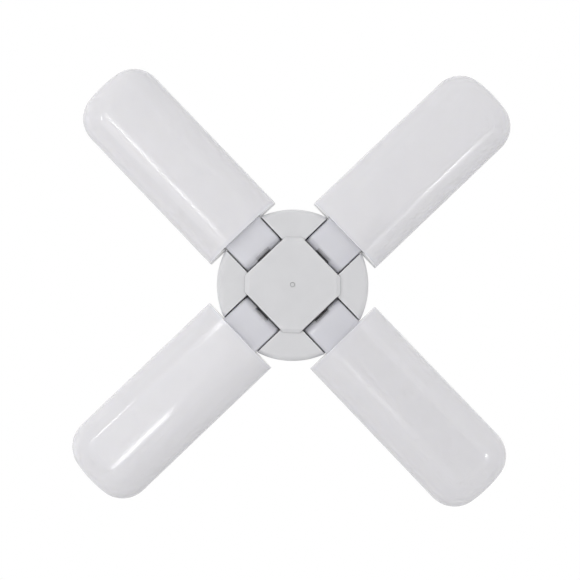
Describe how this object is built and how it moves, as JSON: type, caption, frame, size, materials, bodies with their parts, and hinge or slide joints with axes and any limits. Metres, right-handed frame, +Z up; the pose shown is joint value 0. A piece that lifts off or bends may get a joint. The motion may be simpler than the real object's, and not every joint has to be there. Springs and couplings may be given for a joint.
{
  "type": "folding ceiling lamp",
  "caption": "Screw-in ceiling lamp with milky flat blades that each fold down on a hinge from a round vented hub.",
  "frame": {"origin": "centre of the screw cap's bottom rim, on the hub's axis", "axes": "+Z up along the screw cap, towards its centre contact; one blade along +X and the others at quarter turns; the lit faces look towards -Z"},
  "size_m": [0.3106, 0.3106, 0.085],
  "materials": {
    "cover_plastic": "satin white moulded plastic",
    "housing_plastic": "satin white moulded plastic",
    "tray_plastic": "satin white moulded plastic",
    "diffuser_plastic": "glossy milky plastic",
    "screw_steel": "zinc-plated steel",
    "pin_steel": "ground steel",
    "ring_rubber": "black rubber",
    "board_laminate": "green circuit laminate",
    "board_aluminium": "white-coated aluminium board",
    "light_chip": "pale yellow light chips",
    "socket_plastic": "off-white moulded plastic",
    "lead_insulation": "red insulation",
    "plated_cap": "nickel-plated sheet",
    "cap_insulation": "dark insulating glass",
    "contact_metal": "tinned brass",
    "transformer_tape": "yellow winding tape",
    "capacitor_sleeve": "dark blue sleeve",
    "choke_sleeve": "black sleeve",
    "film_case": "amber resin",
    "chip_resin": "black resin",
    "resistor_coat": "pale blue coating"
  },
  "bodies": {
    "hub": {"front_cover": "cover_plastic", "rear_housing": "housing_plastic", "case_screws": "screw_steel", "driver_board": "board_laminate", "driver_screws": "screw_steel", "lead_sockets": "socket_plastic", "hub_leads": "lead_insulation", "mains_leads": "lead_insulation", "cap_shell": "plated_cap", "cap_insulator": "cap_insulation", "centre_contact": "contact_metal", "transformer": "transformer_tape", "smoothing_capacitor": "capacitor_sleeve", "choke": "choke_sleeve", "film_capacitor": "film_case", "rectifier": "chip_resin", "fuse_resistor": "resistor_coat", "friction_rings_1": "ring_rubber", "friction_rings_2": "ring_rubber", "friction_rings_3": "ring_rubber", "friction_rings_4": "ring_rubber"},
    "blade_1": {"blade_tray_1": "tray_plastic", "diffuser_1": "diffuser_plastic", "light_board_1": "board_aluminium", "light_chips_1": "light_chip", "board_screws_1": "screw_steel", "hinge_pins_1": "pin_steel", "blade_leads_1": "lead_insulation"},
    "blade_2": {"blade_tray_2": "tray_plastic", "diffuser_2": "diffuser_plastic", "light_board_2": "board_aluminium", "light_chips_2": "light_chip", "board_screws_2": "screw_steel", "hinge_pins_2": "pin_steel", "blade_leads_2": "lead_insulation"},
    "blade_3": {"blade_tray_3": "tray_plastic", "diffuser_3": "diffuser_plastic", "light_board_3": "board_aluminium", "light_chips_3": "light_chip", "board_screws_3": "screw_steel", "hinge_pins_3": "pin_steel", "blade_leads_3": "lead_insulation"},
    "blade_4": {"blade_tray_4": "tray_plastic", "diffuser_4": "diffuser_plastic", "light_board_4": "board_aluminium", "light_chips_4": "light_chip", "board_screws_4": "screw_steel", "hinge_pins_4": "pin_steel", "blade_leads_4": "lead_insulation"}
  },
  "joints": [
    {"name": "blade_1_fold", "type": "hinge", "parent": "hub", "child": "blade_1", "pos_m": [0.0275, 0, -0.05], "axis": [0, 1, 0], "range_deg": [0, 90]},
    {"name": "blade_2_fold", "type": "hinge", "parent": "hub", "child": "blade_2", "pos_m": [0, 0.0275, -0.05], "axis": [-1, 0, 0], "range_deg": [0, 90]},
    {"name": "blade_3_fold", "type": "hinge", "parent": "hub", "child": "blade_3", "pos_m": [-0.0275, 0, -0.05], "axis": [0, -1, 0], "range_deg": [0, 90]},
    {"name": "blade_4_fold", "type": "hinge", "parent": "hub", "child": "blade_4", "pos_m": [0, -0.0275, -0.05], "axis": [1, 0, 0], "range_deg": [0, 90]}
  ]
}
